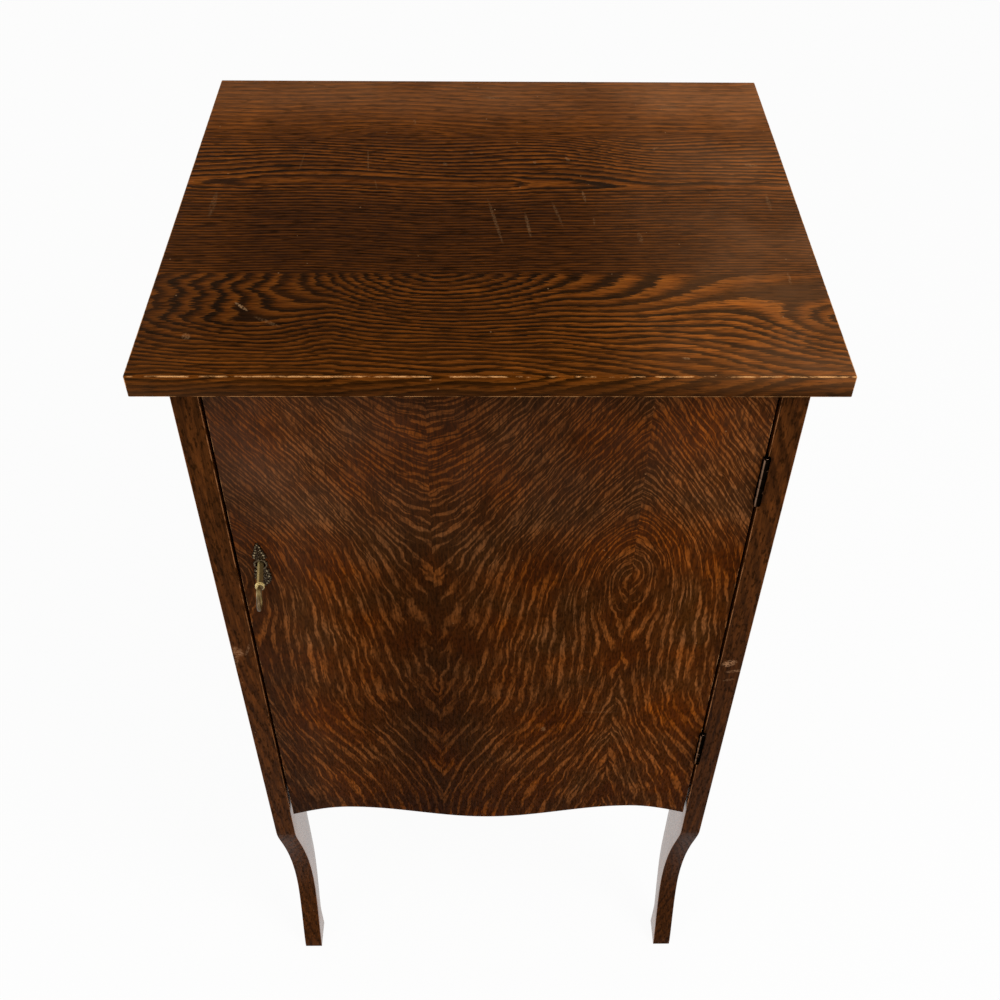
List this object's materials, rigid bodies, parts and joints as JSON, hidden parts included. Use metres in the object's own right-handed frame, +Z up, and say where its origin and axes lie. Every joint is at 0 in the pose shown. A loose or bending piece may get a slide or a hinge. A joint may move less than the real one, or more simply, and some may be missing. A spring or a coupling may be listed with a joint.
{
  "type": "gramophone cabinet",
  "caption": "Oak gramophone cabinet on scroll-sawn cabriole legs, with a flat top, a hinged veneered door with a serpentine lower edge, a lock with its key, and record bays inside.",
  "frame": {"origin": "on the floor, midway across the cabinet and midway between the key's bow and the back edge of the top", "axes": "+Z up from the floor, -Y toward the viewer of the door, +X toward the hinges"},
  "size_m": [0.52, 0.4843, 0.978],
  "materials": {
    "oak_top": "plain-sawn oak, stained dark and varnished, satin",
    "oak_case": "oak, stained dark and varnished, satin",
    "oak_veneer": "quartered oak veneer, stained and varnished, satin",
    "oak_inside": "stained softwood and oak, thin varnish",
    "plywood": "thin plywood, stained",
    "hinge_steel": "steel, dark patina",
    "screw_steel": "steel, dull",
    "aged_brass": "cast brass, dark patina",
    "key_brass": "polished brass, worn",
    "lock_brass": "brass, dull",
    "lock_steel": "steel, oiled"
  },
  "bodies": {
    "cabinet": {"top_front_plank": "oak_top", "top_middle_plank": "oak_top", "top_rear_plank": "oak_top", "side_left": "oak_case", "side_right": "oak_case", "bottom_board": "oak_inside", "shelf": "oak_inside", "front_rail": "oak_inside", "rear_rail": "oak_inside", "back_panel": "plywood", "glue_blocks": "oak_inside", "top_screws": "screw_steel", "back_screws": "screw_steel", "hinge_case_leaf_upper": "hinge_steel", "hinge_case_leaf_lower": "hinge_steel", "hinge_pin_upper": "hinge_steel", "hinge_pin_lower": "hinge_steel", "hinge_case_screws": "hinge_steel", "strike_plate": "lock_brass", "strike_screws": "lock_brass", "divider_lower_1": "plywood", "divider_lower_2": "plywood", "divider_lower_3": "plywood", "divider_lower_4": "plywood", "divider_lower_5": "plywood", "divider_upper_1": "plywood", "divider_upper_2": "plywood", "divider_upper_3": "plywood", "divider_upper_4": "plywood", "divider_upper_5": "plywood"},
    "door": {"door_core": "oak_inside", "door_veneer_left": "oak_veneer", "door_veneer_middle": "oak_veneer", "door_veneer_right": "oak_veneer", "door_back_veneer": "oak_inside", "hinge_door_leaf_upper": "hinge_steel", "hinge_door_leaf_lower": "hinge_steel", "hinge_door_screws": "hinge_steel", "escutcheon": "aged_brass", "escutcheon_pins": "aged_brass", "lock_plate": "lock_brass", "lock_case": "lock_brass", "lock_spring": "lock_steel", "lock_screws": "lock_brass"},
    "bolt": {"lock_bolt": "lock_steel"},
    "key": {"key": "key_brass"}
  },
  "joints": [
    {"name": "door_swing", "type": "hinge", "parent": "cabinet", "child": "door", "pos_m": [0.21515, -0.19294, 0.65], "axis": [0, 0, 1], "range_deg": [0, 180]},
    {"name": "key_turn", "type": "hinge", "parent": "door", "child": "key", "pos_m": [-0.1948, -0.19164, 0.758], "axis": [0.1045, -0.9945, 0], "range_deg": [0, 360]},
    {"name": "bolt_throw", "type": "slide", "parent": "door", "child": "bolt", "axis": [-1, 0, 0], "range_m": [0, 0.008]}
  ],
  "couplings": [
    {"joint": "bolt_throw", "follows": "key_turn", "m_per_rad": 0.001273}
  ]
}
